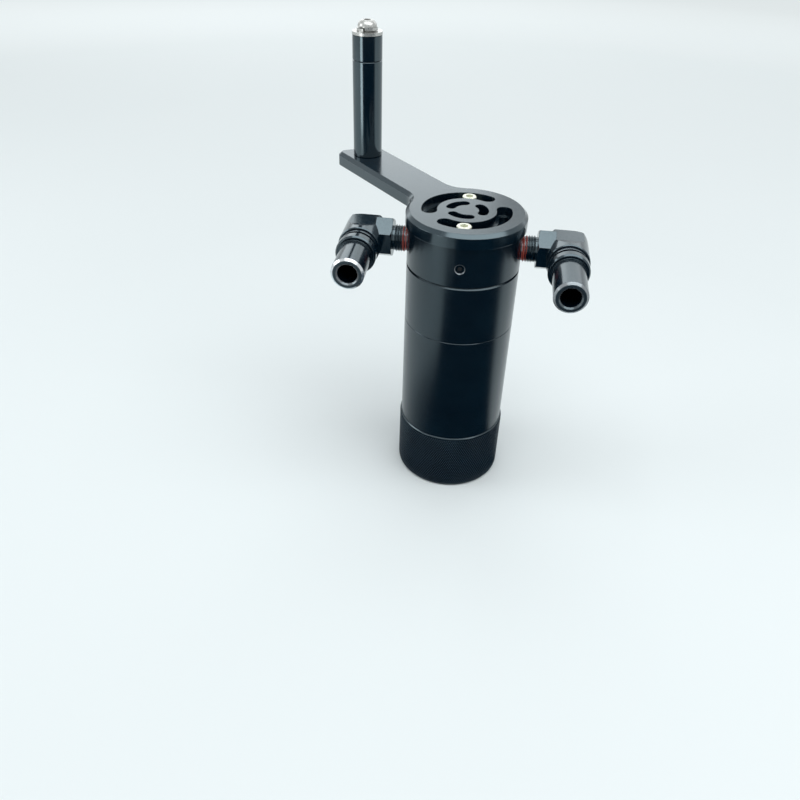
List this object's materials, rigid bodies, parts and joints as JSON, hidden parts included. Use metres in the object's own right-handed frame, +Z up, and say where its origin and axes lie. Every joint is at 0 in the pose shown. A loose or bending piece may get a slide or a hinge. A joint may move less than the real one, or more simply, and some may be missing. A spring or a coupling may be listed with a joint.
{
  "type": "oil catch can",
  "caption": "Slim black billet oil catch can with a knurled screw-off drain cup, elbow hose stems and a slotted bracket arm carrying a mounting post.",
  "frame": {"origin": "centre of the drain cup's underside", "axes": "+Z up the can's axis, +X towards the outlet elbow, hose stems pointing to -Y"},
  "size_m": [0.1547, 0.1446, 0.25],
  "materials": {
    "black_anodised": "gloss black anodised",
    "black_knurled": "black anodised with a diamond knurl",
    "seal_rubber": "matte black",
    "bare_aluminium": "machined",
    "wire_mesh": "knitted steel wire",
    "black_steel": "black oxide",
    "yellow_zinc_steel": "pale yellow zinc",
    "bright_zinc_steel": "bright zinc"
  },
  "bodies": {
    "can": {"lower_body": "black_anodised", "body_o_ring": "seal_rubber", "upper_body": "black_anodised", "head_o_ring": "seal_rubber", "lower_screen": "bare_aluminium", "mesh_pad": "wire_mesh", "upper_screen": "bare_aluminium", "drop_tube": "bare_aluminium", "head": "black_anodised", "set_screw": "black_steel", "elbow_left": "black_anodised", "stem_left": "black_anodised", "elbow_right": "black_anodised", "stem_right": "black_anodised", "plate_screws": "yellow_zinc_steel"},
    "seal": {"cup_o_ring": "seal_rubber"},
    "cup": {"drain_cup": "black_knurled"},
    "bracket": {"bracket": "black_anodised", "post": "black_anodised", "post_spacer": "black_anodised", "flat_washer": "bright_zinc_steel", "lock_washer": "bright_zinc_steel", "post_bolt": "bright_zinc_steel", "arm_screw": "bright_zinc_steel"}
  },
  "joints": [
    {"name": "cup_lower", "type": "slide", "parent": "can", "child": "seal", "axis": [0, 0, -1], "range_m": [0, 0.00801]},
    {"name": "cup_turn", "type": "hinge", "parent": "seal", "child": "cup", "pos_m": [0, 0, 0.02], "axis": [0, 0, -1], "range_deg": [0, 1440]},
    {"name": "bracket_swing", "type": "hinge", "parent": "can", "child": "bracket", "pos_m": [0, 0, 0.1698], "axis": [0, 0, 1], "range_deg": [-100, 29]}
  ],
  "couplings": [
    {"joint": "cup_lower", "follows": "cup_turn", "m_per_rad": 0.00031831}
  ]
}
